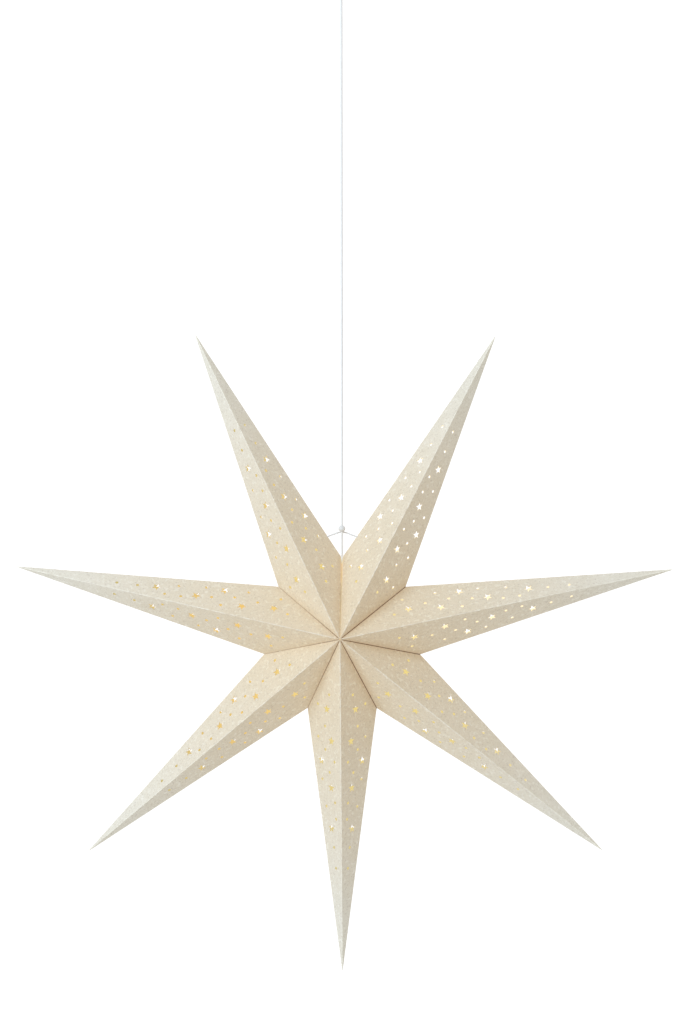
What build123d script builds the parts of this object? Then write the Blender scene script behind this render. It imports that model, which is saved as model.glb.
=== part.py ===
from build123d import *
import os
from math import cos, pi, radians, sin, tan

os.makedirs("parts", exist_ok=True)

# A seven-pointed star of folded, punched paper that hangs on its lamp cord.
# Sizes are in millimetres and angles in degrees.
# The ceiling is the plane z = 0, and the front of the star looks along -Y.

# Paper star
arm_count = 7
tip_radius = 388.5
valley_radius = 94.0
half_depth = 56.0
paper = 0.45
seam_opening = 2.7
tab_width = 6.0
tab_start = 9.0
tab_overhang = 3.0
centre_hole_radius = 1.2
seam_lip = 1.7
seam_lip_radius = 73.0
seam_lip_overlap = 1.0
star_drop = 830.0

# How far each arm's tip is from its even place, as in a star folded by hand
tip_leans = (-0.9, 0.2, 1.4, 0.0, -0.5, -0.7, -0.3)

# Punched holes: each place is a share of the arm's length and a share of the panel's width there
star_hole_radius = 5.7
star_hole_waist = 0.42
star_hole_places = ((0.213, 0.41), (0.308, 0.32), (0.371, 0.73), (0.450, 0.42), (0.574, 0.54))
dot_hole_radius = 1.9
dot_hole_sides = 6
dot_hole_places = ((0.200, 0.67), (0.299, 0.76), (0.427, 0.77), (0.509, 0.71), (0.631, 0.48))

# Cord, bead and tie string
cord_radius = 1.5
cord_clearance = 0.25
bead_radius = 4.0
bead_height = 124.8
string_radius = 0.65
string_clearance = 0.3
string_below_bead_centre = 4.1
string_bend_aside = 3.2
string_hole_share = 0.085
string_hole_radius = 1.2
string_hole_depth = 3.0
knot_radius = 1.45
knot_depth = 3.8

# Ceiling canopy and what is in it
canopy_radius = 38.0
canopy_height = 50.0
canopy_wall = 1.6
canopy_round = 9.0
bracket_width = 16.0
bracket_sheet = 1.5
bracket_gap = 0.3
bracket_bend = 2.5
ear_length = 15.0
ceiling_hole_spacing = 46.0
ceiling_hole_radius = 2.2
side_screw_radius = 1.45
side_screw_play = 0.1
side_screw_drop = 9.0
side_screw_length = 7.0
screw_head_radius = 2.8
screw_head_height = 1.8
screw_slot_width = 0.8
screw_slot_depth = 0.7
block_length = 18.0
block_width = 13.0
block_height = 12.0
pole_spacing = 8.0
wire_entry_radius = 2.0
terminal_screw_radius = 1.6
terminal_screw_length = 4.0
block_round = 0.8

# Cord bush in the canopy's floor
bush_flange_radius = 8.0
bush_flange = 2.0
bush_shank_radius = 5.0
bush_shank = 12.0
bush_play = 0.2
bush_sleeve = 13.0
bush_sleeve_top_radius = 6.5
bush_mouth_wall = 1.2
bell_height = 6.0
bell_play = 0.3
swing_limit = 15.0
nut_across_flats = 14.0
nut_height = 5.0
tail_gap = 0.4

# Lamp holder, hanging on the cord inside the star, heights from the star's centre
holder_top = 58.0
holder_neck_radius = 5.5
holder_neck = 4.0
holder_radius = 14.0
holder_wall = 1.8
cap_shoulder = 40.0
cap_rim = 34.0
spigot = 4.0
spigot_play = 0.2
insert_height = 8.0
insert_seat = 22.0
holder_mouth = 9.0
holder_lip_round = 0.9
shell_radius = 7.4
shell_wall = 0.5
shell_gap = 0.3
shell_length = 13.0
tongue_radius = 2.4
tongue_height = 1.6
clamp_screw_radius = 1.4
clamp_screw_play = 0.1
clamp_screw_drop = 2.0
clamp_screw_proud = 0.4

# Bulb with a small screw cap
bulb_cap_radius = 6.9
bulb_cap_wall = 0.5
bulb_cap_length = 15.0
cap_to_tongue = 0.3
button_radius = 2.2
button_height = 1.0
insulator_height = 1.6
bulb_radius = 20.0
bulb_centre = -22.0
glass_wall = 0.8
glass_neck_play = 0.15
neck_length = 6.0
stem_radius = 3.0
stem_tip_radius = 1.2
stem_tip = -14.0
filament_count = 4
filament_radius = 0.7
filament_spread = 4.5
filament_top = -10.0
filament_bottom = -32.0
lead_wire = 0.8

# Derived places
star_z = -star_drop
star_centre = Vector(0, 0, star_z)
pitch = (360 - seam_opening) / arm_count
half_pitch = radians(pitch / 2)
valley_along = valley_radius * cos(half_pitch)
valley_aside = valley_radius * sin(half_pitch)
star_axis = Axis((0, 0, star_z), (0, -1, 0))
middle_plane = Plane(star_centre, x_dir=(1, 0, 0), z_dir=(0, -1, 0))


def finish(piece, name):
    """Names a finished piece and writes it."""
    piece.part.label = name
    export_step(piece.part, f"parts/{name}.step")


# Places on an arm that points along +X
front_apex = Vector(0, -half_depth, star_z)
arm_valley = Vector(valley_along, 0, star_z + valley_aside)
valley_run = arm_valley - front_apex
arm_plane = Plane(star_centre, x_dir=(1, 0, 0), z_dir=(0, 0, 1))
valley_plane = Plane(
    star_centre,
    x_dir=(cos(half_pitch), 0, sin(half_pitch)),
    z_dir=(sin(half_pitch), 0, -cos(half_pitch)),
)
tab_reach = valley_radius - tab_width * valley_run.length / half_depth
tab_front = half_depth - tab_width * valley_run.length / valley_radius
star_hole = [
    (radius * cos(radians(36 * turn)), radius * sin(radians(36 * turn)))
    for turn, radius in enumerate([star_hole_radius, star_hole_radius * star_hole_waist] * 5)
]


def folded_panel(lean, at_seam):
    """The arm's upper panel at the front, for a tip that leans, with a lip where the panel is beside the seam."""
    along = (cos(radians(lean)), 0, sin(radians(lean)))
    ridge_plane = Plane(star_centre, x_dir=along, z_dir=(-along[2], 0, along[0]))
    arm_tip = star_centre + Vector(*along) * tip_radius
    crease_root = arm_tip + (arm_valley - arm_tip) * (tip_radius / (tip_radius - valley_along))
    panel_normal = (arm_tip - front_apex).cross(valley_run).normalized()
    panel_plane = Plane(front_apex, x_dir=arm_tip - front_apex, z_dir=panel_normal)

    def flat(place):
        local = panel_plane.to_local_coords(place)
        return (local.X, local.Y)

    def on_panel(arm_share, width_share):
        foot = front_apex + (crease_root - front_apex) * width_share
        return flat(foot + (arm_tip - foot) * arm_share)

    def past_edge(corner):
        return flat(corner + (corner - arm_tip).normalized() * tab_overhang)

    with BuildPart() as panel:
        with BuildSketch(panel_plane):
            Polygon(flat(arm_tip), past_edge(arm_valley), past_edge(front_apex), align=None)
            with Locations(*[on_panel(*place) for place in star_hole_places]):
                Polygon(*star_hole, align=None, mode=Mode.SUBTRACT)
            with Locations(*[on_panel(*place) for place in dot_hole_places]):
                RegularPolygon(dot_hole_radius, dot_hole_sides, mode=Mode.SUBTRACT)
        extrude(amount=-paper)
        split(bisect_by=valley_plane, keep=Keep.TOP)
        with BuildSketch(valley_plane):
            Polygon(
                (tab_start, half_depth * (1 - tab_start / valley_radius)),
                (valley_radius, 0),
                (tab_reach, 0),
                (tab_start, tab_front * (1 - tab_start / tab_reach)),
                align=None,
            )
        extrude(amount=paper)
        if at_seam:
            past_valley = panel_normal.cross(valley_run).normalized()
            lip_start = front_apex + valley_run * (tab_start / valley_radius)
            lip_middle = front_apex + valley_run * (seam_lip_radius / valley_radius)
            with BuildSketch(panel_plane):
                Polygon(
                    flat(arm_valley),
                    flat(lip_middle + past_valley * seam_lip),
                    flat(lip_start),
                    flat(lip_start - past_valley * seam_lip_overlap),
                    flat(arm_valley - past_valley * seam_lip_overlap),
                    align=None,
                )
            extrude(amount=-paper)
        split(bisect_by=ridge_plane, keep=Keep.TOP)
        split(bisect_by=middle_plane, keep=Keep.TOP)
        with BuildSketch(middle_plane):
            Circle(centre_hole_radius)
        extrude(amount=half_depth, mode=Mode.SUBTRACT)
    return panel.part


# The tie string goes through the two creases beside the seam
seam_half = radians(seam_opening / 2)
seam_valley = Vector(valley_radius * sin(seam_half), 0, star_z + valley_radius * cos(seam_half))
end_tip_angle = seam_half + half_pitch
end_tip = Vector(tip_radius * sin(end_tip_angle), 0, star_z + tip_radius * cos(end_tip_angle))
string_hole = seam_valley + (end_tip - seam_valley) * string_hole_share
string_back = cord_radius + string_clearance + string_radius
bead_z = star_z + bead_height
string_bend = Vector(string_bend_aside, string_back, bead_z - string_below_bead_centre)
string_run = (string_hole - string_bend).normalized()
knot = string_hole + string_run * knot_depth


def mirrored(place):
    """The same place on the left of the seam."""
    return Vector(-place.X, place.Y, place.Z)


# Seven arms, counted from the upper left one round by the bottom to the upper right one
# Each is cut along its creases and folds into its four flat panels and their glue tabs
for arm_index in range(arm_count):
    arm_angle = 90 + seam_opening / 2 + pitch * (arm_index + 0.5)
    lean = tip_leans[arm_index]
    across = Vector(-sin(radians(arm_angle)), 0, cos(radians(arm_angle)))
    ridge_plane = Plane(star_centre, x_dir=(0, 1, 0), z_dir=across.rotate(star_axis, lean))
    with BuildPart() as one_side:
        add(folded_panel(-lean, arm_index == 0))
        mirror(about=arm_plane, mode=Mode.REPLACE)
    with BuildPart() as folded_arm:
        add(folded_panel(lean, arm_index == arm_count - 1))
        add(one_side.part)
        mirror(about=middle_plane)
    with BuildPart() as arm:
        add(folded_arm.part.rotate(star_axis, arm_angle))
        if arm_index == 0:
            with BuildSketch(Plane(mirrored(string_hole), z_dir=mirrored(string_run))):
                Circle(string_hole_radius)
            extrude(amount=string_hole_depth, both=True, mode=Mode.SUBTRACT)
        if arm_index == arm_count - 1:
            with BuildSketch(Plane(string_hole, z_dir=string_run)):
                Circle(string_hole_radius)
            extrude(amount=string_hole_depth, both=True, mode=Mode.SUBTRACT)
        split(bisect_by=middle_plane, keep=Keep.BOTH)
        split(bisect_by=ridge_plane, keep=Keep.BOTH)
        for side in (-1, 1):
            inward = across.rotate(star_axis, side * pitch / 2) * -side
            split(bisect_by=Plane(star_centre + inward * paper, z_dir=inward), keep=Keep.BOTH)
    finish(arm, f"arm_{arm_index + 1}")

# Bead on the cord
with BuildPart() as tie_bead:
    with Locations((0, 0, bead_z)):
        Sphere(bead_radius)
        Cylinder(cord_radius + cord_clearance, 3 * bead_radius, mode=Mode.SUBTRACT)
finish(tie_bead, "tie_bead")

# Tie string, which passes behind the cord under the bead and is knotted inside the two end arms
string_points = (mirrored(knot), mirrored(string_bend), string_bend, knot)
string_turn = (string_bend - mirrored(string_bend)).get_angle(string_run)
string_bend_radius = 0.45 * 2 * string_bend.X / tan(radians(string_turn / 2))
print("tie string bend radius", round(string_bend_radius, 1))
with BuildPart() as tie_string:
    with BuildLine() as string_path:
        FilletPolyline(*string_points, radius=string_bend_radius)
    with BuildSketch(string_path.line ^ 0):
        Circle(string_radius)
    sweep()
    print("tie string volume", round(tie_string.part.volume, 2))
    print("section times length", round(pi * string_radius**2 * string_path.wire().length, 2))
    with Locations(knot, mirrored(knot)):
        Sphere(knot_radius, rotation=(0, 0, 90))
finish(tie_string, "tie_string")

# Places along the cord
bush_z = -canopy_height
mouth_z = bush_z - bush_flange - bush_sleeve
pivot_z = mouth_z + bell_height
cap_top_z = star_z + holder_top
cord_end_z = star_z + insert_seat + insert_height
bore_radius = cord_radius + cord_clearance
bell_radius = bell_height * tan(radians(swing_limit)) + cord_radius / cos(radians(swing_limit)) + bell_play

# Hanging cord, with a round upper end that turns in the bush's bell mouth
with BuildPart() as cord:
    with BuildSketch(Plane.XY.offset(pivot_z)):
        Circle(cord_radius)
    extrude(amount=cord_end_z - pivot_z)
    with Locations((0, 0, pivot_z)):
        Sphere(cord_radius)
finish(cord, "cord")

# Ceiling bracket: a strap with two turned-down ears
bracket_reach = canopy_radius - canopy_wall - bracket_gap
bracket_half = (bracket_reach**2 - (bracket_width / 2) ** 2) ** 0.5
with BuildPart() as mounting_bracket:
    with BuildSketch(Plane.XZ):
        with Locations((0, -ear_length / 2)):
            Rectangle(2 * bracket_half, ear_length)
        with Locations((0, -bracket_sheet)):
            Rectangle(2 * (bracket_half - bracket_sheet), ear_length, align=(Align.CENTER, Align.MAX),
                      mode=Mode.SUBTRACT)
    extrude(amount=bracket_width / 2, both=True)
    bends = mounting_bracket.edges().filter_by(Axis.Y).group_by(Axis.Z)[-1]
    fillet(bends, bracket_bend)
    with Locations(*[(side * ceiling_hole_spacing / 2, 0, 0) for side in (-1, 1)]):
        Hole(ceiling_hole_radius)
    with BuildSketch(Plane.YZ):
        with Locations((0, -side_screw_drop)):
            Circle(side_screw_radius + side_screw_play)
    extrude(amount=canopy_radius, both=True, mode=Mode.SUBTRACT)
finish(mounting_bracket, "mounting_bracket")

# Canopy: a round cup over the bracket
with BuildPart() as canopy:
    with BuildSketch(Plane.XZ):
        with BuildLine():
            wall_foot = Line((canopy_radius, 0), (canopy_radius, -canopy_height + canopy_round))
            rounding = RadiusArc(wall_foot @ 1, (canopy_radius - canopy_round, -canopy_height), canopy_round)
            Polyline(rounding @ 1, (0, -canopy_height), (0, 0), wall_foot @ 0)
        make_face()
    revolve(axis=Axis.Z)
    offset(amount=-canopy_wall, openings=canopy.faces().sort_by(Axis.Z)[-1])
    with BuildSketch(Plane.XY.offset(bush_z)):
        Circle(bush_shank_radius + bush_play)
    extrude(amount=canopy_wall, mode=Mode.SUBTRACT)
    with BuildSketch(Plane.YZ):
        with Locations((0, -side_screw_drop)):
            Circle(side_screw_radius + side_screw_play)
    extrude(amount=canopy_radius, both=True, mode=Mode.SUBTRACT)
finish(canopy, "canopy")

# Two screws that hold the canopy on the bracket's ears
with BuildPart() as canopy_screws:
    with BuildSketch(Plane.YZ.offset(canopy_radius)):
        with Locations((0, -side_screw_drop)):
            Circle(screw_head_radius)
    extrude(amount=screw_head_height)
    heads = canopy_screws.faces().sort_by(Axis.X)[-1]
    fillet(heads.edges(), screw_head_height / 2)
    with BuildSketch(Plane.YZ.offset(canopy_radius)):
        with Locations((0, -side_screw_drop)):
            Circle(side_screw_radius)
    extrude(amount=-side_screw_length)
    with BuildSketch(Plane.YZ.offset(canopy_radius + screw_head_height)):
        with Locations((0, -side_screw_drop)):
            Rectangle(2 * screw_head_radius, screw_slot_width)
    extrude(amount=-screw_slot_depth, mode=Mode.SUBTRACT)
    mirror(about=Plane.YZ)
finish(canopy_screws, "canopy_screws")

# Terminal block under the bracket
block_top = -bracket_sheet
poles = [(side * pole_spacing / 2, 0) for side in (-1, 1)]
with BuildPart() as terminal_block:
    with BuildSketch(Plane.XY.offset(block_top)):
        RectangleRounded(block_length, block_width, block_round)
    extrude(amount=-block_height)
    with BuildSketch(Plane.XY.offset(block_top - block_height)):
        with Locations(*poles):
            Circle(wire_entry_radius)
    extrude(amount=block_height / 2, mode=Mode.SUBTRACT)
    with BuildSketch(Plane.XZ.offset(block_width / 2)):
        with Locations(*[(side, block_top - block_height / 2) for side, _ in poles]):
            Circle(terminal_screw_radius + side_screw_play)
    extrude(amount=-terminal_screw_length, mode=Mode.SUBTRACT)
finish(terminal_block, "terminal_block")

# Screws of the two terminals, sunk in the block's front
with BuildPart() as terminal_screws:
    with BuildSketch(Plane.XZ.offset(block_width / 2 - terminal_screw_length)):
        with Locations(*[(side, block_top - block_height / 2) for side, _ in poles]):
            Circle(terminal_screw_radius)
    extrude(amount=terminal_screw_length - screw_slot_depth)
    with BuildSketch(Plane.XZ.offset(block_width / 2 - screw_slot_depth)):
        with Locations(*[(side, block_top - block_height / 2) for side, _ in poles]):
            Rectangle(2 * terminal_screw_radius, screw_slot_width)
    extrude(amount=-screw_slot_depth, mode=Mode.SUBTRACT)
finish(terminal_screws, "terminal_screws")

# Cord bush: flange and tapered sleeve under the canopy, threaded shank and bore through it
with BuildPart() as cord_bush:
    with BuildSketch(Plane.XZ):
        with BuildLine():
            Polyline(
                (bore_radius, bush_z - bush_flange + bush_shank),
                (bush_shank_radius, bush_z - bush_flange + bush_shank),
                (bush_shank_radius, bush_z),
                (bush_flange_radius, bush_z),
                (bush_flange_radius, bush_z - bush_flange),
                (bush_sleeve_top_radius, bush_z - bush_flange),
                (bell_radius + bush_mouth_wall, mouth_z),
                (bell_radius, mouth_z),
                (bore_radius, pivot_z),
                close=True,
            )
        make_face()
    revolve(axis=Axis.Z)
finish(cord_bush, "cord_bush")

# Nut that clamps the bush in the canopy's floor
nut_bottom = bush_z + canopy_wall
with BuildPart() as bush_nut:
    with BuildSketch(Plane.XY.offset(nut_bottom)):
        RegularPolygon(nut_across_flats / 2, 6, major_radius=False)
        Circle(bush_shank_radius + bush_play, mode=Mode.SUBTRACT)
    extrude(amount=nut_height)
finish(bush_nut, "bush_nut")

# The cord's fixed end, from the bush up to the terminal block
tail_bottom = pivot_z + cord_radius + tail_gap
with BuildPart() as cord_tail:
    with BuildSketch(Plane.XY.offset(tail_bottom)):
        Circle(cord_radius)
    extrude(amount=block_top - block_height - tail_bottom)
finish(cord_tail, "cord_tail")

# Lamp holder cap: a bell with a neck for the cord
cap_inner = holder_radius - holder_wall
shoulder_z = star_z + cap_shoulder
rim_z = star_z + cap_rim
neck_foot_z = cap_top_z - holder_neck
clamp_z = cap_top_z - clamp_screw_drop
with BuildPart() as holder_cap:
    with BuildSketch(Plane.XZ):
        with BuildLine():
            Line((bore_radius, cap_top_z), (holder_neck_radius, cap_top_z))
            Line((holder_neck_radius, cap_top_z), (holder_neck_radius, neck_foot_z))
            Spline(
                (holder_neck_radius, neck_foot_z),
                (holder_radius, shoulder_z),
                tangents=((1, -0.6), (0, -1)),
            )
            Line((holder_radius, shoulder_z), (holder_radius, rim_z))
            Line((holder_radius, rim_z), (cap_inner, rim_z))
            Line((cap_inner, rim_z), (cap_inner, shoulder_z - holder_wall))
            Line((cap_inner, shoulder_z - holder_wall), (bore_radius, neck_foot_z - holder_wall))
            Line((bore_radius, neck_foot_z - holder_wall), (bore_radius, cap_top_z))
        make_face()
    revolve(axis=Axis.Z)
    with BuildSketch(Plane.YZ):
        with Locations((0, clamp_z)):
            Circle(clamp_screw_radius + clamp_screw_play)
    extrude(amount=holder_radius, mode=Mode.SUBTRACT)
finish(holder_cap, "holder_cap")

# Grub screw in the neck that grips the cord
with BuildPart() as clamp_screw:
    with BuildSketch(Plane.YZ.offset(bore_radius)):
        with Locations((0, clamp_z)):
            Circle(clamp_screw_radius)
    extrude(amount=holder_neck_radius + clamp_screw_proud - bore_radius)
    with BuildSketch(Plane.YZ.offset(holder_neck_radius + clamp_screw_proud)):
        with Locations((0, clamp_z)):
            Rectangle(2 * clamp_screw_radius, screw_slot_width)
    extrude(amount=-screw_slot_depth, mode=Mode.SUBTRACT)
finish(clamp_screw, "clamp_screw")

# Lamp holder body: a sleeve with a spigot inside the cap and a ledge for the insert
seat_z = star_z + insert_seat
mouth_bottom_z = star_z + holder_mouth
ledge_radius = shell_radius + shell_wall + shell_gap
spigot_radius = cap_inner - spigot_play
with BuildPart() as holder_body:
    with BuildSketch(Plane.XZ):
        with BuildLine():
            Polyline(
                (spigot_radius - holder_wall, rim_z + spigot),
                (spigot_radius, rim_z + spigot),
                (spigot_radius, rim_z),
                (holder_radius, rim_z),
                (holder_radius, mouth_bottom_z),
                (ledge_radius, mouth_bottom_z),
                (ledge_radius, seat_z),
                (spigot_radius - holder_wall, seat_z),
                close=True,
            )
        make_face()
    revolve(axis=Axis.Z)
    lips = holder_body.faces().sort_by(Axis.Z)[0].edges()
    fillet(lips, holder_lip_round)
finish(holder_body, "holder_body")

# Insulating insert that carries the contacts
with BuildPart() as contact_insert:
    with BuildSketch(Plane.XY.offset(seat_z)):
        Circle(spigot_radius - holder_wall - spigot_play)
        with Locations(*poles):
            Circle(wire_entry_radius / 2, mode=Mode.SUBTRACT)
    extrude(amount=insert_height)
finish(contact_insert, "contact_insert")

# Brass screw shell under the insert
with BuildPart() as screw_shell:
    with BuildSketch(Plane.XY.offset(seat_z)):
        Circle(shell_radius + shell_wall)
        Circle(shell_radius, mode=Mode.SUBTRACT)
    extrude(amount=-shell_length)
finish(screw_shell, "screw_shell")

# Sprung centre contact
with BuildPart() as centre_contact:
    with BuildSketch(Plane.XY.offset(seat_z)):
        Circle(tongue_radius)
    extrude(amount=-tongue_height)
    fillet(centre_contact.faces().sort_by(Axis.Z)[0].edges(), tongue_height / 2)
finish(centre_contact, "centre_contact")

# Bulb cap with its insulator and contact button
button_top_z = seat_z - tongue_height - cap_to_tongue
insulator_top_z = button_top_z - button_height
cap_top = insulator_top_z - insulator_height
cap_foot = cap_top - bulb_cap_length
with BuildPart() as bulb_cap:
    with BuildSketch(Plane.XY.offset(cap_foot)):
        Circle(bulb_cap_radius)
    extrude(amount=bulb_cap_length)
    fillet(bulb_cap.faces().sort_by(Axis.Z)[-1].edges(), insulator_height)
    with BuildSketch(Plane.XY.offset(cap_foot)):
        Circle(bulb_cap_radius - bulb_cap_wall)
    extrude(amount=bulb_cap_length - insulator_height - bulb_cap_wall, mode=Mode.SUBTRACT)
finish(bulb_cap, "bulb_cap")

with BuildPart() as cap_insulator:
    with BuildSketch(Plane.XY.offset(cap_top)):
        Circle(bulb_cap_radius - insulator_height)
    with BuildSketch(Plane.XY.offset(insulator_top_z)):
        Circle(button_radius)
    loft()
finish(cap_insulator, "cap_insulator")

with BuildPart() as contact_button:
    with BuildSketch(Plane.XY.offset(insulator_top_z)):
        Circle(button_radius)
    extrude(amount=button_height)
    fillet(contact_button.faces().sort_by(Axis.Z)[-1].edges(), button_height / 2)
finish(contact_button, "contact_button")

# Glass globe with an open neck that is set in the cap
globe_z = star_z + bulb_centre
neck_radius = bulb_cap_radius - bulb_cap_wall - glass_neck_play
neck_top = cap_foot + neck_length


def globe_outline(radius, throat):
    """Half section of the globe, from its neck down round its foot to the axis."""
    shoulder = (radius * radius - throat * throat) ** 0.5
    turn = Line((throat, neck_top), (throat, globe_z + shoulder))
    globe = ThreePointArc(turn @ 1, (radius, globe_z), (0, globe_z - radius))
    Polyline(globe @ 1, (0, neck_top), turn @ 0)


with BuildPart() as bulb_glass:
    with BuildSketch(Plane.XZ):
        with BuildLine():
            globe_outline(bulb_radius, neck_radius)
        make_face()
    revolve(axis=Axis.Z)
    with BuildSketch(Plane.XZ):
        with BuildLine():
            globe_outline(bulb_radius - glass_wall, neck_radius - glass_wall)
        make_face()
    revolve(axis=Axis.Z, mode=Mode.SUBTRACT)
finish(bulb_glass, "bulb_glass")

# Glass stem inside the globe, set in the neck, with the wires that carry the filaments
with BuildPart() as bulb_stem:
    with BuildSketch(Plane.XY.offset(neck_top)):
        Circle(neck_radius - glass_wall - glass_neck_play)
    extrude(amount=-glass_wall)
    with BuildSketch(Plane.XY.offset(neck_top - glass_wall)):
        Circle(stem_radius)
    with BuildSketch(Plane.XY.offset(star_z + stem_tip)):
        Circle(stem_tip_radius)
    loft()
    with BuildSketch(Plane.XY.offset(star_z + filament_top)):
        with PolarLocations(0, filament_count):
            Rectangle(filament_spread + filament_radius, lead_wire, align=(Align.MIN, Align.CENTER))
    extrude(amount=lead_wire)
finish(bulb_stem, "bulb_stem")

# Filament rods that hang from the wires round the stem
with BuildPart() as filaments:
    with BuildSketch(Plane.XY.offset(star_z + filament_top)):
        with PolarLocations(filament_spread, filament_count):
            Circle(filament_radius)
    extrude(amount=filament_bottom - filament_top)
finish(filaments, "filaments")
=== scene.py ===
# %% [markdown]
# # A folded paper star on its lamp cord
# This lesson dresses a finished solid model. The solids fix every size and every joint, so the script
# starts by loading them, and each new piece then goes exactly where its solid is and rides on the same
# body. All lengths are in metres, the ceiling is the plane z = 0, and the star's front looks along -Y.

# %% Load the solid model
from math import acos, atan2, cos, degrees, pi, radians, sin, tau

import bmesh
import bpy
from mathutils import Matrix, Vector


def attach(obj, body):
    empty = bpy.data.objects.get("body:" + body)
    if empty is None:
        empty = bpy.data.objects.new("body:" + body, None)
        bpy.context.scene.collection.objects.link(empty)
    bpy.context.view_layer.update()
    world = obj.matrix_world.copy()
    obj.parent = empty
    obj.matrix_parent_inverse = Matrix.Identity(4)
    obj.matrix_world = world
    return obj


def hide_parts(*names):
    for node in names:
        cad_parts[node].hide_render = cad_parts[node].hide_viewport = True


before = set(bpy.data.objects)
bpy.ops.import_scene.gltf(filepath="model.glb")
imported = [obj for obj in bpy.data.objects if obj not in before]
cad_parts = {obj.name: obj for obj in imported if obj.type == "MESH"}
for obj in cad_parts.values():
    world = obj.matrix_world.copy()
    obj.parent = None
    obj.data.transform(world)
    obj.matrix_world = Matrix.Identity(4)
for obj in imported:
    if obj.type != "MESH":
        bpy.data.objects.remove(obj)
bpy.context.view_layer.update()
scene = bpy.context.scene

# %% [markdown]
# ## The camera
# The photograph looks almost straight at the star, from a little to its right and from just above the
# height of the bead. A long lens keeps the arms nearly the same size. The place and the aim come from
# matching the seven tips, the valleys and the front point with their places in the picture.

# %% Camera
camera_place = (0.0812, -2.0, -0.6758)
camera_yaw, camera_pitch, camera_roll = radians(2.204), radians(-0.285), radians(-0.074)
lens_in_pixels = 1716.0
picture_height = 1024
sensor_width = 36

camera_data = bpy.data.cameras.new("camera")
camera_data.sensor_width = sensor_width
camera_data.lens = lens_in_pixels / picture_height * sensor_width
camera = bpy.data.objects.new("camera", camera_data)
camera.location = camera_place
camera.rotation_euler = (pi / 2 + camera_pitch, -camera_roll, camera_yaw)
scene.collection.objects.link(camera)
scene.camera = camera
print("lens", round(camera_data.lens, 1), "mm")

# %% [markdown]
# ## The cord
# The lamp hangs on its own cord, pulled straight by the weight of the lamp holder. A NURBS curve with a
# round bevel is the natural way to make one, because its line stays smooth. The curve is then turned into
# a mesh, and the same line without its bevel gives the points of the route. One helper makes all tubes:
# the cords from a NURBS line, and later the thin strands of the string from a plain line through many
# points. The order and the end setting only act on a NURBS line.

# %% Helpers for tubes and pieces
cord_roundness, strand_roundness = 6, 2


def tube_mesh(name, lines, radius, roundness, kind="POLY", closed=False):
    """Mesh of round tubes along lists of points, or of bare lines for a radius of 0."""
    curve = bpy.data.curves.new(name, "CURVE")
    curve.dimensions = "3D"
    curve.bevel_depth = radius
    curve.bevel_resolution = roundness
    curve.use_fill_caps = True
    for points in lines:
        line = curve.splines.new(kind)
        line.points.add(len(points) - 1)
        for point, place in zip(line.points, points):
            point.co = (*place, 1)
        line.order_u = 3
        line.use_endpoint_u = True
        line.use_cyclic_u = closed
    holder = bpy.data.objects.new(name, curve)
    mesh = bpy.data.meshes.new_from_object(holder)
    bpy.data.objects.remove(holder)
    mesh.name = name
    return mesh


def route_of(points):
    """Places on the smooth line near the points of a route."""
    bare_line = tube_mesh("route", [points], 0, cord_roundness, "NURBS")
    return [vertex.co.copy() for vertex in bare_line.vertices]


def linked(name, mesh, body, slot, *nodes):
    """An object for a finished mesh, riding a body, in the place of the solids that are named."""
    piece = bpy.data.objects.new(name, mesh)
    scene.collection.objects.link(piece)
    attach(piece, body)
    if nodes:
        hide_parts(*nodes)
    return piece


# %% [markdown]
# A straight cord needs four points. The second is close to the first and the third close to the last,
# which keeps the long middle straight. The hanging cord goes from its pivot in the bush down to the lamp
# holder. Another short piece goes up from the bush to the terminals.

# %% The hanging cord and its fixed end
cord_radius = 0.0015
cord_top, cord_foot = -0.059, -0.800
tail_low, tail_high = -0.0571, -0.0135
held_diameters = 6
held_length = held_diameters * 2 * cord_radius


def straight_cord(name, body, node, start, end):
    """A taut cord on the middle line, in the place of its solid."""
    step = held_length if end > start else -held_length
    points = [(0, 0, z) for z in (start, start + step, end - step, end)]
    mesh = tube_mesh(name, [points], cord_radius, cord_roundness, "NURBS")
    piece = linked(name, mesh, body, "cord_sheath", node)
    route_of(points)
    return piece


hanging_cord = straight_cord("hanging_cord", "hanging_cord", "cord", cord_top, cord_foot)
fixed_end = straight_cord("cord_fixed_end", "ceiling", "cord_tail", tail_low, tail_high)
print("cord", round(cord_top - cord_foot, 3), "m,", len(hanging_cord.data.polygons), "faces")

# %% [markdown]
# ## The tie string
# A short string passes behind the cord, just under the bead, and goes down to a hole in the crease of
# each arm beside the open seam, where a knot holds it. Real string is twisted, and the twist shows close
# up. So the route's smooth line is read as points, and three thin strands are wound round it.

# %% Route of the string
string_radius = 0.00090
knot_reach, run_share = 0.0038, 0.4
bend_place = Vector((0.00320, 0.00245, -0.70930))
hole_place = Vector((0.01695, 0, -0.71456))
knot_place = hole_place + knot_reach * (hole_place - bend_place).normalized()
run_place = bend_place.lerp(knot_place, run_share)
right_half = [bend_place, run_place, knot_place]
left_half = [Vector((-p.x, p.y, p.z)) for p in reversed(right_half)]
route_points = route_of(left_half + right_half)
print("string route", len(route_points), "points")

# %% Three strands round the route
strand_count = 3
strand_offset = 0.52 * string_radius
strand_radius = 0.50 * string_radius
strand_step = 0.0003
twist_length = 0.0042


def wound(points, phase):
    """The points of one strand, wound round a line."""
    places, gone = [], 0.0
    for here, after in zip(points, points[1:]):
        length = (after - here).length
        steps = max(1, round(length / strand_step))
        ahead = (after - here).normalized()
        aside = ahead.cross(Vector((0, 1, 0))).normalized()
        over = aside.cross(ahead)
        for step in range(steps):
            at = here.lerp(after, step / steps)
            turn = phase + tau * (gone + (at - here).length) / twist_length
            places.append(at + strand_offset * (cos(turn) * aside + sin(turn) * over))
        gone += length
    return places


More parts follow.
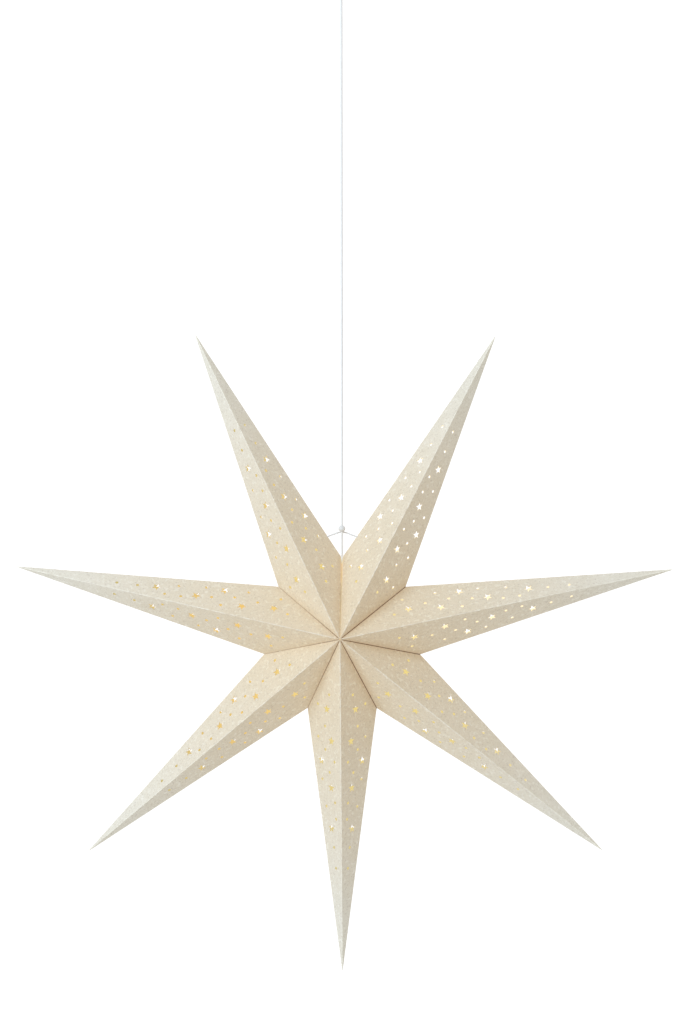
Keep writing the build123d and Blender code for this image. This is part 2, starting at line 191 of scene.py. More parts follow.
strands = [wound(route_points, tau * number / strand_count) for number in range(strand_count)]
string_mesh = tube_mesh("tie_string_strands", strands, strand_radius, strand_roundness)
tie_string = linked("tie_string_strands", string_mesh, "ties", "string", "tie_string")

# %% [markdown]
# The knots are small overhand knots. The line of a trefoil, pulled flat, has the same crossings, and at
# this size it reads as a knot from any side.

# %% Knots
knot_scale, knot_depth, knot_steps = 0.00043, 1.3, 48
knot_strand = 0.62 * string_radius


def knot_line(centre):
    """A small trefoil round a place."""
    places = []
    for step in range(knot_steps):
        t = tau * step / knot_steps
        turn = Vector((sin(t) + 2 * sin(2 * t), knot_depth * -sin(3 * t), cos(t) - 2 * cos(2 * t)))
        places.append(centre + knot_scale * turn)
    return places


knots = [knot_line(place) for place in (route_points[0], route_points[-1])]
knot_mesh = tube_mesh("string_knots", knots, knot_strand, strand_roundness, closed=True)
string_knots = linked("string_knots", knot_mesh, "ties", "string")

# %% [markdown]
# ## Nodes in a few words
# Every finish below is a small network of nodes. One helper adds a node, sets its fields, and fills its
# sockets with numbers or with links, so each network reads from top to bottom like a recipe.

# %% Helpers for nodes


def fill(tree, node, sockets):
    """Fills sockets of a node with values or with links."""
    for socket, value in sockets.items():
        if isinstance(value, bpy.types.NodeSocket):
            tree.links.new(value, node.inputs[socket])
        else:
            node.inputs[socket].default_value = value


def put(tree, kind, sockets=None, **fields):
    """Adds a node, sets its fields, and fills its sockets."""
    made = tree.nodes.new(kind)
    for field, value in fields.items():
        setattr(made, field, value)
    fill(tree, made, sockets or {})
    return made


def new_material(name):
    """A material with one Principled shader, and its node tree."""
    material = bpy.data.materials.new(name)
    material.use_nodes = True
    tree = material.node_tree
    return material, tree, tree.nodes["Principled BSDF"]


def new_group(name, inlets, outlets):
    """A node group with vectors as inputs and numbers as outputs, and its input sockets."""
    group = bpy.data.node_groups.new(name, "ShaderNodeTree")
    for socket in inlets:
        group.interface.new_socket(name=socket, in_out="INPUT", socket_type="NodeSocketVector")
    for socket in outlets:
        group.interface.new_socket(name=socket, in_out="OUTPUT", socket_type="NodeSocketFloat")
    return group, put(group, "NodeGroupInput").outputs


# %% [markdown]
# Most steps of a recipe are arithmetic, a move from one range to another, noise, or a mix of two colours.
# A Mix node has sockets for every kind of data, and its colours sit at fixed numbers among them.

# %% Helpers for values and colours
mix_share, mix_first, mix_second, mix_result = 0, 6, 7, 2


def counted(tree, operation, first, second=0.0):
    """One step of arithmetic."""
    return put(tree, "ShaderNodeMath", {0: first, 1: second}, operation=operation).outputs[0]


def times(tree, first, second):
    """Product of two values."""
    return counted(tree, "MULTIPLY", first, second)


def ranged(tree, value, low, high, start=0.0, end=1.0):
    """Value moved from one range to another, and kept inside it."""
    sockets = {"Value": value, "From Min": low, "From Max": high, "To Min": start, "To Max": end}
    return put(tree, "ShaderNodeMapRange", sockets).outputs[0]


def noise(tree, place, scale, detail, roughness=0.5):
    """Cloudy noise, finer for a larger scale."""
    sockets = {"Vector": place, "Scale": scale, "Detail": detail, "Roughness": roughness}
    return put(tree, "ShaderNodeTexNoise", sockets).outputs[0]


def opaque(colour):
    """A plain colour with its alpha. A link stays as it is."""
    return (*colour, 1) if isinstance(colour, tuple) else colour


def mixed(tree, share, first, second, blend="MIX"):
    """Colour that goes from the first to the second by a share."""
    sockets = {mix_share: share, mix_first: opaque(first), mix_second: opaque(second)}
    return put(tree, "ShaderNodeMix", sockets, data_type="RGBA", blend_type=blend).outputs[mix_result]


def object_place(tree):
    """Place of the shaded point in the object's own frame, in metres."""
    return put(tree, "ShaderNodeTexCoord").outputs["Object"]


def split(tree, vector):
    """The X, Y and Z of a vector."""
    return put(tree, "ShaderNodeSeparateXYZ", {0: vector}).outputs


def distance(tree, place, point):
    """Distance of a place from a fixed point."""
    return put(tree, "ShaderNodeVectorMath", {0: place, 1: point}, operation="DISTANCE").outputs["Value"]


# %% [markdown]
# ## Paper grain
# The sheet is a thick, matt craft paper: pale pulp with darker and lighter flecks, a few long fibres, and
# a cloudy tone where the pulp lies thicker. Outside, inside and cut edge share it, so it is one node
# group. A fibre is noise that is stretched along one direction and cut off high, and three directions are
# enough.

# %% Node group for paper
cloud_scale, cloud_cut = 55.0, (0.3, 0.7)
pulp_scale, pulp_cut = 420.0, (0.46, 0.34)
fleck_scale, fleck_cut = 260.0, (0.56, 0.68)
fibre_cut, fibre_height = (0.66, 0.74), 0.5
fibre_runs = (((0.3, 0.5, 0.2), (900, 900, 60)), ((1.4, 0.2, 0.9), (60, 900, 900)),
              ((0.2, 0.4, 0.8), (820, 70, 820)))

grain, inlets = new_group("paper_grain", ["Place"], ["Cloud", "Pale flecks", "Dark flecks", "Height"])
place = inlets["Place"]
cloud = noise(grain, place, cloud_scale, detail=4.0, roughness=0.6)
pulp = noise(grain, place, pulp_scale, detail=3.0, roughness=0.7)
fleck = noise(grain, place, fleck_scale, detail=2.0, roughness=0.55)
fibre = 0.0
for turn, stretch in fibre_runs:
    laid = put(grain, "ShaderNodeMapping", {"Vector": place, "Rotation": turn, "Scale": stretch}).outputs[0]
    strip = noise(grain, laid, scale=1.0, detail=1.0)
    fibre = counted(grain, "MAXIMUM", fibre, ranged(grain, strip, *fibre_cut))
put(grain, "NodeGroupOutput", {
    "Cloud": ranged(grain, cloud, *cloud_cut),
    "Pale flecks": counted(grain, "MAXIMUM", ranged(grain, fleck, *fleck_cut), fibre),
    "Dark flecks": ranged(grain, pulp, *pulp_cut),
    "Height": counted(grain, "ADD", pulp, times(grain, fibre, fibre_height)),
})
print("paper grain", len(grain.nodes), "nodes")

# %% [markdown]
# ## Sizes of the folded arm
# All seven arms are the same folded sheet, and each tip leans a little from its even place, as in a star
# folded by hand. Three corners give a panel: the tip, the front point of the star, and the valley where
# the arm meets the next one.

# %% Sizes
star_z = -0.830
tip_radius = 0.3885
valley_radius = 0.094
half_depth = 0.056
paper = 0.00045
seam_opening = radians(2.7)
arm_count = 7
tip_leans = [radians(lean) for lean in (-0.9, 0.2, 1.4, 0.0, -0.5, -0.7, -0.3)]

pitch = (tau - seam_opening) / arm_count
apex = Vector((0, -half_depth, 0))
valley = valley_radius * Vector((cos(pitch / 2), 0, sin(pitch / 2)))
valley_line = (valley - apex).length
print("valley line", round(valley_line * 1000, 1), "mm")

# %% [markdown]
# ## Paper finish
# Three helpers serve all sides of the paper: its grain, flecks of another colour on a ground, and a
# colour that changes along the arms, because the lamp is close to the middle and far from the tips.

# %% Helpers for paper
ramp_start = 0.03


def paper_look(tree):
    """Place of the shaded point, and the outputs of the paper grain there."""
    place = object_place(tree)
    return place, put(tree, "ShaderNodeGroup", {"Place": place}, node_tree=grain).outputs


def flecked(tree, ground, flecks, share, colour):
    """A ground with flecks of another colour, which cover it by a share."""
    return mixed(tree, times(tree, flecks, share), ground, colour)


def along_arms(tree, place, stops):
    """Colour that changes with the distance from the middle of the star."""
    away = ranged(tree, distance(tree, place, (0, 0, star_z)), ramp_start, tip_radius)
    ramp = put(tree, "ShaderNodeValToRGB", {0: away})
    elements = ramp.color_ramp.elements
    while len(elements) < len(stops):
        elements.new(1.0)
    for stop, (at, colour) in zip(elements, stops):
        stop.position = at
        stop.color = opaque(colour)
    return ramp.outputs[0]


# %% [markdown]
# Outside, the sheet is cream, and near the middle its colour is painted warmer, as painted lamp light that
# comes through there. The flecks are faint in this colour, because most of them show only in the light that
# comes through.

# %% Tone of the outside
thin_pulp, thick_pulp = (0.71, 0.64, 0.557), (0.752, 0.683, 0.609)
dark_fleck, dark_share = (0.487, 0.418, 0.322), 0.20
pale_fleck, pale_share = (0.818, 0.80, 0.757), 0.40
painted_lamp_warmth = [(0.0, (1.0, 0.91, 0.75)), (0.35, (1.0, 0.955, 0.87)), (0.8, (1.0, 1.0, 1.0))]

paper_outside, tree, shader = new_material("paper_outside")
place, look = paper_look(tree)
sheet = mixed(tree, look["Cloud"], thin_pulp, thick_pulp)
sheet = flecked(tree, sheet, look["Dark flecks"], dark_share, dark_fleck)
sheet = flecked(tree, sheet, look["Pale flecks"], pale_share, pale_fleck)
# Painted lamp light: the colour is made warmer towards the middle of the star.
sheet = mixed(tree, 1.0, sheet, along_arms(tree, place, painted_lamp_warmth), "MULTIPLY")

# %% [markdown]
# Each panel gets a UV map that holds two distances in metres: from its ridge, and from its valley. The
# finish can then paint the ridges pale and the valleys dark, however the arm is turned. The pale ridge line
# is patchy wear together with a painted highlight on the rounded fold. Beside a valley the colour is
# painted darker, as painted shade where the sheet is double and sunk in the groove, and the thin brown line
# is glue together with painted shade in the groove. Both dark marks are weaker on the left of the star,
# where the light falls into the valleys, as in the picture.

# %% Ridges and valleys
# Pale ridge line: patchy wear together with a painted highlight on the rounded fold.
ridge_wear_and_highlight, pale_wear_and_highlight, wear_and_highlight_share = (0.0012, 0.0004), (0.87, 0.82, 0.73), 0.7
ridge_patch_scale, ridge_patch_cut = 130.0, (0.32, 0.52)
# Tan beside the valleys: painted shade, weaker on the left of the star.
valley_shade_tan, valley_shade_width, valley_shade_sides = (0.55, 0.375, 0.21), (0.011, 0.001), (-0.06, 0.02, 0.12, 0.36)
# Brown valley line: glue together with painted shade in the groove, weaker on the left of the star.
glue_and_shade_brown, glue_and_shade_width, groove_shade_sides = (0.11, 0.03, 0.005), (0.0009, 0.0002), (-0.045, 0.015, 0.2, 0.8)
ridge_clear = (0.0004, 0.0016)

folds = split(tree, put(tree, "ShaderNodeUVMap", uv_map="folds").outputs[0])
from_ridge, from_valley = folds["X"], folds["Y"]
sides = split(tree, place)
# Painted highlight and patchy wear along each ridge.
ridge_patches = ranged(tree, noise(tree, place, ridge_patch_scale, detail=3.0), *ridge_patch_cut)
wear_and_highlight = times(tree, ranged(tree, from_ridge, *ridge_wear_and_highlight), ridge_patches)
sheet = flecked(tree, sheet, wear_and_highlight, wear_and_highlight_share, pale_wear_and_highlight)
# Painted shade beside each valley, weaker on the left.
valley_shade = times(tree, ranged(tree, from_valley, *valley_shade_width), ranged(tree, sides["X"], *valley_shade_sides))
sheet = mixed(tree, valley_shade, sheet, valley_shade_tan)
# Glue line with painted shade in the groove, weaker on the left.
glue_and_shade_line = times(tree, ranged(tree, from_valley, *glue_and_shade_width), ranged(tree, from_ridge, *ridge_clear))
glue_and_shade_line = times(tree, glue_and_shade_line, ranged(tree, sides["X"], *groove_shade_sides))

# %% [markdown]
# The valley at the top is the seam, which isn't glued. Its upper part has no brown line of glue and painted
# shade, and a little warm light comes out there.

# %% The open seam
seam_sides, leak_width = (0.0025, 0.0035), (0.0018, 0.0006)
seam_foot = (star_z + 0.065, star_z + 0.055)

off_seam = ranged(tree, counted(tree, "ABSOLUTE", sides["X"]), *seam_sides)
under_seam = ranged(tree, sides["Z"], *seam_foot)
not_open = counted(tree, "MAXIMUM", off_seam, under_seam)
leak = counted(tree, "SUBTRACT", ranged(tree, from_valley, *leak_width), not_open)
glue_and_shade_line = times(tree, glue_and_shade_line, not_open)
# The glue line and its painted shade go on the colour here.
sheet = mixed(tree, glue_and_shade_line, sheet, glue_and_shade_brown)

# %% [markdown]
# The lamp shines through the sheet, and emission stands for that light: warm near the middle and paler
# towards the tips. Thick pulp holds it back and thin pulp lets it pass, so here the flecks are strong.

# %% Light through the sheet
through_paper = [(0.0, (0.117, 0.090, 0.049)), (0.5, (0.123, 0.111, 0.063)), (0.9, (0.132, 0.145, 0.107))]
thick_light, thick_share = (0.03, 0.02, 0.01), 0.75
thin_light, thin_share = (0.21, 0.20, 0.15), 0.55
glue_light, leak_light = (0.045, 0.010, 0.001), (0.24, 0.14, 0.05)
grain_height = 0.0003

glow = along_arms(tree, place, through_paper)
glow = flecked(tree, glow, look["Dark flecks"], thick_share, thick_light)
glow = flecked(tree, glow, look["Pale flecks"], thin_share, thin_light)
# Less light comes through the glue and painted shade line.
glow = mixed(tree, glue_and_shade_line, glow, glue_light)
glow = mixed(tree, ranged(tree, leak, 0, 1), glow, leak_light)
bump = put(tree, "ShaderNodeBump",
           {"Height": look["Height"], "Strength": 1.0, "Distance": grain_height}).outputs[0]
fill(tree, shader, {"Base Color": sheet, "Roughness": 0.82, "Specular IOR Level": 0.25,
                    "Normal": bump, "Emission Color": glow, "Emission Strength": 1.0})

# %% [markdown]
# Inside, the sheet faces the lamp and glows. That light is what the punched holes show from the front,
# wherever the hole in the back panel isn't in line. It is more orange on the left, and brighter and paler
# at the upper right.

# %% The inside of the paper
thin_lining, thick_lining = (0.40, 0.34, 0.25), (0.45, 0.39, 0.295)
lit_paper = [(0.0, (0.53, 0.46, 0.18)), (0.5, (0.46, 0.41, 0.20)), (1.0, (0.31, 0.33, 0.20))]
left_paper = [(0.0, (0.60, 0.37, 0.11)), (0.35, (0.52, 0.37, 0.13)), (0.7, (0.34, 0.31, 0.14))]
bright_paper, lit_fleck, lit_fleck_share = (0.82, 0.76, 0.59), (0.22, 0.14, 0.05), 0.3
left_range, bright_range = (-0.03, -0.12, 0.0, 0.85), (0.045, 0.11, 0.0, 0.7)
bright_right, bright_up = 0.8, 0.6

paper_inside, tree, shader = new_material("paper_inside")
place, look = paper_look(tree)
sides = split(tree, place)
lining = mixed(tree, look["Cloud"], thin_lining, thick_lining)
lit = flecked(tree, along_arms(tree, place, lit_paper), look["Dark flecks"], lit_fleck_share, lit_fleck)
lit = mixed(tree, ranged(tree, sides["X"], *left_range), lit, along_arms(tree, place, left_paper))
rightwards = times(tree, sides["X"], bright_right)
upwards = times(tree, counted(tree, "SUBTRACT", sides["Z"], star_z), bright_up)
bright_side = counted(tree, "ADD", rightwards, upwards)
lit = mixed(tree, ranged(tree, bright_side, *bright_range), lit, bright_paper)
fill(tree, shader, {"Base Color": lining, "Roughness": 0.9, "Specular IOR Level": 0.2,
                    "Emission Color": lit, "Emission Strength": 1.0})

# %% [markdown]
# The cut edge round each hole is the bare, pale core of the sheet, and it glows faintly warm as painted
# lamp light.

# %% The cut edge
core_tone, core_fleck, core_light = (0.70, 0.63, 0.50), (0.765, 0.72, 0.63), (0.9, 0.7, 0.4)

paper_cut, tree, shader = new_material("paper_cut_edge")
place, look = paper_look(tree)
core = mixed(tree, look["Pale flecks"], core_tone, core_fleck)
# A faint warm emission is painted lamp light on the cut edge.
fill(tree, shader, {"Base Color": core, "Roughness": 0.9,
                    "Emission Color": opaque(core_light), "Emission Strength": 0.10})

# %% [markdown]
# ## One punched panel
# A panel is a flat triangle with holes: five-pointed stars and round dots, in the same loose scatter on
# every panel. The outline and each hole are drawn as closed loops of edges, and one fill makes the sheet
# between them. A star hole is a circle of ten points with every second one drawn in. The place of a hole
# is a share of the way along the panel, and a share of the panel's width there.

# %% Holes
star_radius, star_points, star_waist = 0.0057, 5, 0.42
dot_radius, dot_sides = 0.0018, 12
star_places = ((0.213, 0.41), (0.308, 0.32), (0.371, 0.73), (0.450, 0.42), (0.574, 0.54))
dot_places = ((0.169, 0.32), (0.200, 0.67), (0.265, 0.50), (0.299, 0.76), (0.336, 0.55), (0.370, 0.24),
              (0.404, 0.45), (0.427, 0.77), (0.494, 0.29), (0.509, 0.71), (0.543, 0.27), (0.631, 0.48),
              (0.694, 0.44))


def punch(bm, flat_root, far_end):
    """Draws the loops of the holes on a flat panel."""
    for along, aside in star_places:
        middle = (flat_root * aside).lerp(far_end, along)
        turned = Matrix.Translation(middle) @ Matrix.Rotation(pi / 2, 4, "Z")
        ring = bmesh.ops.create_circle(bm, segments=2 * star_points, radius=star_radius, matrix=turned)
        for vertex in ring["verts"][1::2]:
            vertex.co = middle.lerp(vertex.co, star_waist)
    for along, aside in dot_places:
        middle = (flat_root * aside).lerp(far_end, along)
        moved = Matrix.Translation(middle)
        bmesh.ops.create_circle(bm, segments=dot_sides, radius=dot_radius, matrix=moved)


# %% [markdown]
# A panel is drawn flat, with the front point of the star at the origin and the ridge along X. The rounded
# folds take a little off the needle point of an arm, so the flat sheet starts that much longer.

# %% The flat panel
point_lost = 0.0064


def flat_panel(lean):
    """Frame of the upper front panel of an arm along +X, and its tip, valley and crease root there."""
    tip = (tip_radius + point_lost) * Vector((cos(lean), 0, sin(lean)))
    crease_root = tip + (valley - tip) * tip.x / (tip.x - valley.x)
    ridge_way = (tip - apex).normalized()
    out = ridge_way.cross(valley - apex).normalized()
    place = Matrix((ridge_way, out.cross(ridge_way), out)).transposed().to_4x4()
    place.translation = apex
    to_flat = place.inverted()
    return place, to_flat @ tip, to_flat @ valley, to_flat @ crease_root


flat_tip, flat_valley = flat_panel(0)[1:3]
print("panel", round(flat_tip.x * 1000, 1), "by", round(flat_valley.y * 1000, 1), "mm")

# %% [markdown]
# Along the valley a tab folds in, which is glued to the tab of the next arm. The panels at the seam also
# have a lip there, which reaches round the cord, and half a round hole for the string in their crease.

# %% Corners of a panel
centre_hole_radius = 0.0006
tab_width, tab_start = 0.006, 0.009
seam_reach, seam_lip = 0.00105, 0.002
free_lips = ((0.088, 0.0007), (0.084, 0.00225))
tabbed_lips = ((0.076, 0.00212), (tab_start, 0.00024))
string_hole_share, string_hole_radius, string_hole_steps = 0.085, 0.0012, 6


def past_valley(flat_valley):
    """The way across the valley line, out of the flat panel."""
    way = flat_valley.normalized()
    return Vector((-way.y, way.x, 0))


def lipped(flat_valley, lips):
    """Corners beside the valley line, at given distances from the middle and past the line."""
    past = past_valley(flat_valley)
    return [flat_valley * radius / valley_radius + lip * past for radius, lip in lips]


def outline(flat_tip, flat_valley, at_seam):
    """Free corners of the flat panel, and the corners along its tab."""
    near_valley = flat_valley * centre_hole_radius / valley_radius
    near_ridge = flat_tip * centre_hole_radius / tip_radius
    free = [near_valley, near_ridge, flat_tip]
    if not at_seam:
        return free, [flat_valley, flat_valley * tab_start / valley_radius]
    middle = flat_valley.lerp(flat_tip, string_hole_share)
    way = (flat_tip - flat_valley).normalized()
    inward = Vector((way.y, -way.x, 0))
    for step in range(string_hole_steps + 1):
        turn = pi * step / string_hole_steps
        free.append(middle + string_hole_radius * (cos(turn) * way + sin(turn) * inward))
    free.append(flat_valley - seam_reach * way)
    return free + lipped(flat_valley, free_lips), lipped(flat_valley, tabbed_lips)


def loop_of(bm, places):
    """A closed loop of edges through the places."""
    verts = [bm.verts.new(place) for place in places]
    for here, after in zip(verts, verts[1:] + verts[:1]):
        bm.edges.new((here, after))
    return verts


# %% Glue tab
tab_reach = valley_radius - tab_width * valley_line / half_depth
tab_front = half_depth - tab_width * valley_line / valley_radius


def drawn_tab(bm, corners, past):
    """Draws the glue tab out of a panel's edge, and gives the vertices of the tab's inner edge."""
    edges = [bm.edges.get(pair) for pair in zip(corners, corners[1:])]
    drawn = bmesh.ops.extrude_edge_only(bm, edges=edges)["geom"]
    tab = [part for part in drawn if isinstance(part, bmesh.types.BMVert)]
    bmesh.ops.translate(bm, vec=tab_width * past, verts=tab)
    return tab


def tab_place(radius):
    """Place on the inner edge of the folded tab, at a distance from the middle line."""
    depth = tab_front * max(0, 1 - radius / tab_reach)
    return min(radius, tab_reach) * valley.normalized() - Vector((0, depth, 0))


# %% [markdown]
# The UV map is written while the panel is still flat, because both distances are plain there. At the seam
# the distance from the valley starts near the edge of the lip. Then the panel goes to its place, and its
# tab folds in.

# %% Fill and map one panel, and fold in its tab
def punched_panel(lean, at_seam):
    """A panel with its holes and its glue tab, in the place of the upper front panel of an arm along +X."""
    place, flat_tip, flat_valley, flat_root = flat_panel(lean)
    free, tabbed = outline(flat_tip, flat_valley, at_seam)
    bm = bmesh.new()
    border = loop_of(bm, free + tabbed)
    punch(bm, flat_root, flat_tip * tip_radius / (tip_radius + point_lost))
    bmesh.ops.triangle_fill(bm, use_beauty=True, edges=bm.edges[:], normal=(0, 0, 1))

    past = past_valley(flat_valley)
    tab = drawn_tab(bm, border[len(free):], past)
    lip = seam_lip if at_seam else 0
    folds = bm.loops.layers.uv.new("folds")
    for face in bm.faces:
        for corner in face.loops:
            corner[folds].uv = (corner.vert.co.y, lip - past.dot(corner.vert.co))

    way = flat_valley.normalized()
    inner = [tab_place(valley_radius * vertex.co.dot(way) / valley_line) for vertex in tab]
    bmesh.ops.transform(bm, matrix=place, verts=bm.verts[:])
    for vertex, at in zip(tab, inner):
        vertex.co = at
    return bm


trial = punched_panel(0, False)
print("panel faces", len(trial.faces), "edges on a border", sum(edge.is_boundary for edge in trial.edges))
trial.free()

# %% [markdown]
# ## Seven arms
# Four panels make an arm. The second is the first one mirrored, the back is the front mirrored, and their
# edges are merged so that the folds are real shared edges. A narrow bevel rounds each fold, as a scored
# fold in thick paper is round. A Solidify modifier gives the sheet its thickness inwards, with its own
# finish inside and on the cut edge.

# %% Fold an arm
fold_round, fold_angle = 0.0005, radians(15)
merge_distance = 1e-6


def rounded(bm, edges, width):
    """Rounds edges with a narrow bevel."""
    bmesh.ops.bevel(bm, geom=edges, offset=width, offset_type="OFFSET", segments=2, profile=0.5,
                    affect="EDGES", material=-1, clamp_overlap=True)


def folded_arm(lean, seam_side):
    """The four panels of an arm along +X, as one sheet, with the seam on one side or on none (0)."""
    arm = bmesh.new()
    passing = bpy.data.meshes.new("panel")
    for side in (1, -1):
        panel = punched_panel(side * lean, side == seam_side)
        if side < 0:
            bmesh.ops.scale(panel, vec=(1, 1, -1), verts=panel.verts[:])
            bmesh.ops.reverse_faces(panel, faces=panel.faces[:])
        panel.to_mesh(passing)
        panel.free()
        arm.from_mesh(passing)
    bpy.data.meshes.remove(passing)
    front = arm.verts[:] + arm.edges[:] + arm.faces[:]
    bmesh.ops.mirror(arm, geom=front, axis="Y", merge_dist=merge_distance)
    bmesh.ops.remove_doubles(arm, verts=arm.verts[:], dist=merge_distance)
    bmesh.ops.recalc_face_normals(arm, faces=arm.faces[:])
    shared = [edge for edge in arm.edges if len(edge.link_faces) == 2]
    rounded(arm, [edge for edge in shared if edge.calc_face_angle() > fold_angle], fold_round)
    return arm


def mesh_of(name, bm, *finishes):
    """A mesh with its finishes, from a bmesh that isn't needed any more."""
    mesh = bpy.data.meshes.new(name)
    bm.to_mesh(mesh)
    bm.free()
    for finish in finishes:
        mesh.materials.append(finish)
    return mesh


# %% Place the seven arms round the middle
side_of_seam = {0: -1, arm_count - 1: 1}
for number in range(arm_count):
    name = f"paper_arm_{number + 1}"
    folded = folded_arm(tip_leans[number], side_of_seam.get(number, 0))
    arm_angle = pi / 2 + seam_opening / 2 + pitch * (number + 0.5)
    turned = Matrix.Translation((0, 0, star_z)) @ Matrix.Rotation(arm_angle, 4, (0, -1, 0))
    bmesh.ops.transform(folded, matrix=turned, verts=folded.verts[:])
    arm_mesh = mesh_of(name, folded, paper_outside, paper_inside, paper_cut)
    arm = linked(name, arm_mesh, "star", "paper", f"arm_{number + 1}")
    thick = arm.modifiers.new("thickness", "SOLIDIFY")
    thick.thickness = paper
    thick.offset = -1
    thick.use_even_offset = True
    thick.material_offset = 1
    thick.material_offset_rim = 2
print("arm faces", len(arm_mesh.polygons))

# %% [markdown]
# ## Moulded, metal and glass finishes
# The small parts are plain on purpose. White moulded plastic still has a fine grain and a soft sheen,
# plated steel has brushed lines, and glass is clear with a warm tint. One grain group serves all of them:
# it stretches its noise along the brushing.

# %% Node group for moulded and brushed grain
broad_scale = 60.0

fine, inlets = new_group("fine_grain", ["Place", "Stretch"], ["Tone", "Height"])
laid = put(fine, "ShaderNodeVectorMath", {0: inlets["Place"], 1: inlets["Stretch"]},
           operation="MULTIPLY").outputs[0]
tone = noise(fine, laid, scale=1.0, detail=3.0)
broad = noise(fine, inlets["Place"], broad_scale, detail=2.0)
put(fine, "NodeGroupOutput", {"Tone": times(fine, counted(fine, "ADD", tone, broad), 0.5), "Height": tone})

# %% A helper for the small finishes
even, brushed, thready = (900, 900, 900), (120, 3000, 3000), (4000, 4000, 4000)
tone_cut, bump_strength = (0.35, 0.65), 0.25
mould_bump, hard_bump = 5e-5, 3e-5


def small_finish(name, first, second, rough, height=mould_bump, stretch=even, metal=0.0):
    """A finish that varies between two colours and two roughnesses over a fine grain."""
    material, tree, shader = new_material(name)
    sockets = {"Place": object_place(tree), "Stretch": stretch}
    look = put(tree, "ShaderNodeGroup", sockets, node_tree=fine).outputs
    share = ranged(tree, look["Tone"], *tone_cut)
    bump = put(tree, "ShaderNodeBump",
               {"Height": look["Height"], "Strength": bump_strength, "Distance": height}).outputs[0]
    fill(tree, shader, {"Base Color": mixed(tree, share, first, second), "Normal": bump,
                        "Roughness": ranged(tree, share, 0, 1, *rough), "Metallic": metal})
    return material


def plated(name, first, second, rough):
    """A brushed metal."""
    return small_finish(name, first, second, rough, hard_bump, brushed, metal=1.0)


# %% Plastic, string, ceramic and metal
sheath_bump, bead_bump, string_bump = 6e-5, 2e-5, 8e-5

canopy_white = small_finish("canopy_white", (0.85, 0.835, 0.81), (0.89, 0.875, 0.85), (0.42, 0.52))
holder_white = small_finish("holder_white", (0.83, 0.815, 0.79), (0.88, 0.865, 0.84), (0.38, 0.50))
block_plastic = small_finish("block_plastic", (0.76, 0.75, 0.69), (0.82, 0.81, 0.75), (0.45, 0.55))
cord_sheath = small_finish("cord_sheath", (0.93, 0.915, 0.895), (0.96, 0.945, 0.925), (0.45, 0.55),
                           sheath_bump)
bead_white = small_finish("bead_white", (0.80, 0.79, 0.775), (0.85, 0.84, 0.825), (0.45, 0.55), bead_bump)
string_white = small_finish("string_white", (0.80, 0.785, 0.765), (0.90, 0.885, 0.865), (0.8, 0.95),
                            string_bump, thready)
ceramic = small_finish("ceramic", (0.80, 0.79, 0.75), (0.86, 0.85, 0.82), (0.35, 0.5))
insulator = small_finish("black_insulator", (0.02, 0.02, 0.02), (0.05, 0.05, 0.05), (0.2, 0.3), hard_bump)
zinc = plated("zinc_steel", (0.55, 0.56, 0.58), (0.68, 0.69, 0.70), (0.28, 0.42))
brass = plated("brass", (0.66, 0.48, 0.20), (0.78, 0.60, 0.28), (0.25, 0.38))
nickel = plated("nickel", (0.62, 0.60, 0.56), (0.74, 0.72, 0.68), (0.22, 0.34))

# %% Glass and filament
glass_bump, filament_light = 1e-5, (1.0, 0.66, 0.30)

bulb_glass = small_finish("bulb_glass", (1.0, 0.90, 0.72), (1.0, 0.93, 0.80), (0.02, 0.05), glass_bump)
tree = bulb_glass.node_tree
fill(tree, tree.nodes["Principled BSDF"], {"Transmission Weight": 1.0, "IOR": 1.45})

filament = small_finish("filament", (0.95, 0.70, 0.30), (1.0, 0.80, 0.42), (0.6, 0.7), hard_bump)
tree = filament.node_tree
fill(tree, tree.nodes["Principled BSDF"],
     {"Emission Color": opaque(filament_light), "Emission Strength": 4.0})

# %% [markdown]
# ## Turned pieces
# The canopy, the bush, the bead, the lamp holder and the bulb are all round about the cord. Each is half
# of its cross-section, drawn as a closed outline of radius and height, and spun once round the cord's
# line. The outer sizes come from the box of each solid. A narrow bevel eases the rims, because a moulding
# is never quite sharp.

# %% Helpers for turned pieces
spin_steps = 72
rim_angle, smooth_angle = radians(30), radians(35)
rim_ease, body_ease, thread_ease = 0.0003, 0.0006, 0.0001


def extent(node):
    """Radius, foot and top of a round solid, from its box."""
    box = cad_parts[node].bound_box
    heights = [corner[2] for corner in box]
    return max(corner[0] for corner in box), min(heights), max(heights)


def arc(middle, radius, start, end, count=10):
    """Points of a section on an arc, from one angle to another, in degrees."""
    turns = [radians(start + (end - start) * step / count) for step in range(count + 1)]
    return [(middle[0] + radius * cos(turn), middle[1] + radius * sin(turn)) for turn in turns]


def spun(section, ease=rim_ease):
    """A closed section spun round the cord's line, with eased rims."""
    bm = bmesh.new()
    loop_of(bm, [(radius, 0, height) for radius, height in section])
    bmesh.ops.spin(bm, geom=bm.verts[:] + bm.edges[:], cent=(0, 0, 0), axis=(0, 0, 1), angle=tau,
                   steps=spin_steps, use_merge=True)
    bmesh.ops.remove_doubles(bm, verts=bm.verts[:], dist=merge_distance)
    bmesh.ops.delete(bm, geom=[edge for edge in bm.edges if edge.is_wire], context="EDGES")
    bmesh.ops.recalc_face_normals(bm, faces=bm.faces[:])
    rounded(bm, [edge for edge in bm.edges if edge.calc_face_angle(0) > rim_angle], ease)
    return bm


def link_smooth(name, bm, body, slot, finish, node):
    """A turned piece in the place of its solid, smooth but for its rims."""
    mesh = mesh_of(name, bm, finish)
    mesh.shade_smooth()
    mesh.set_sharp_from_angle(angle=smooth_angle)
    linked(name, mesh, body, slot, node)
    print(name, len(mesh.polygons), "faces")


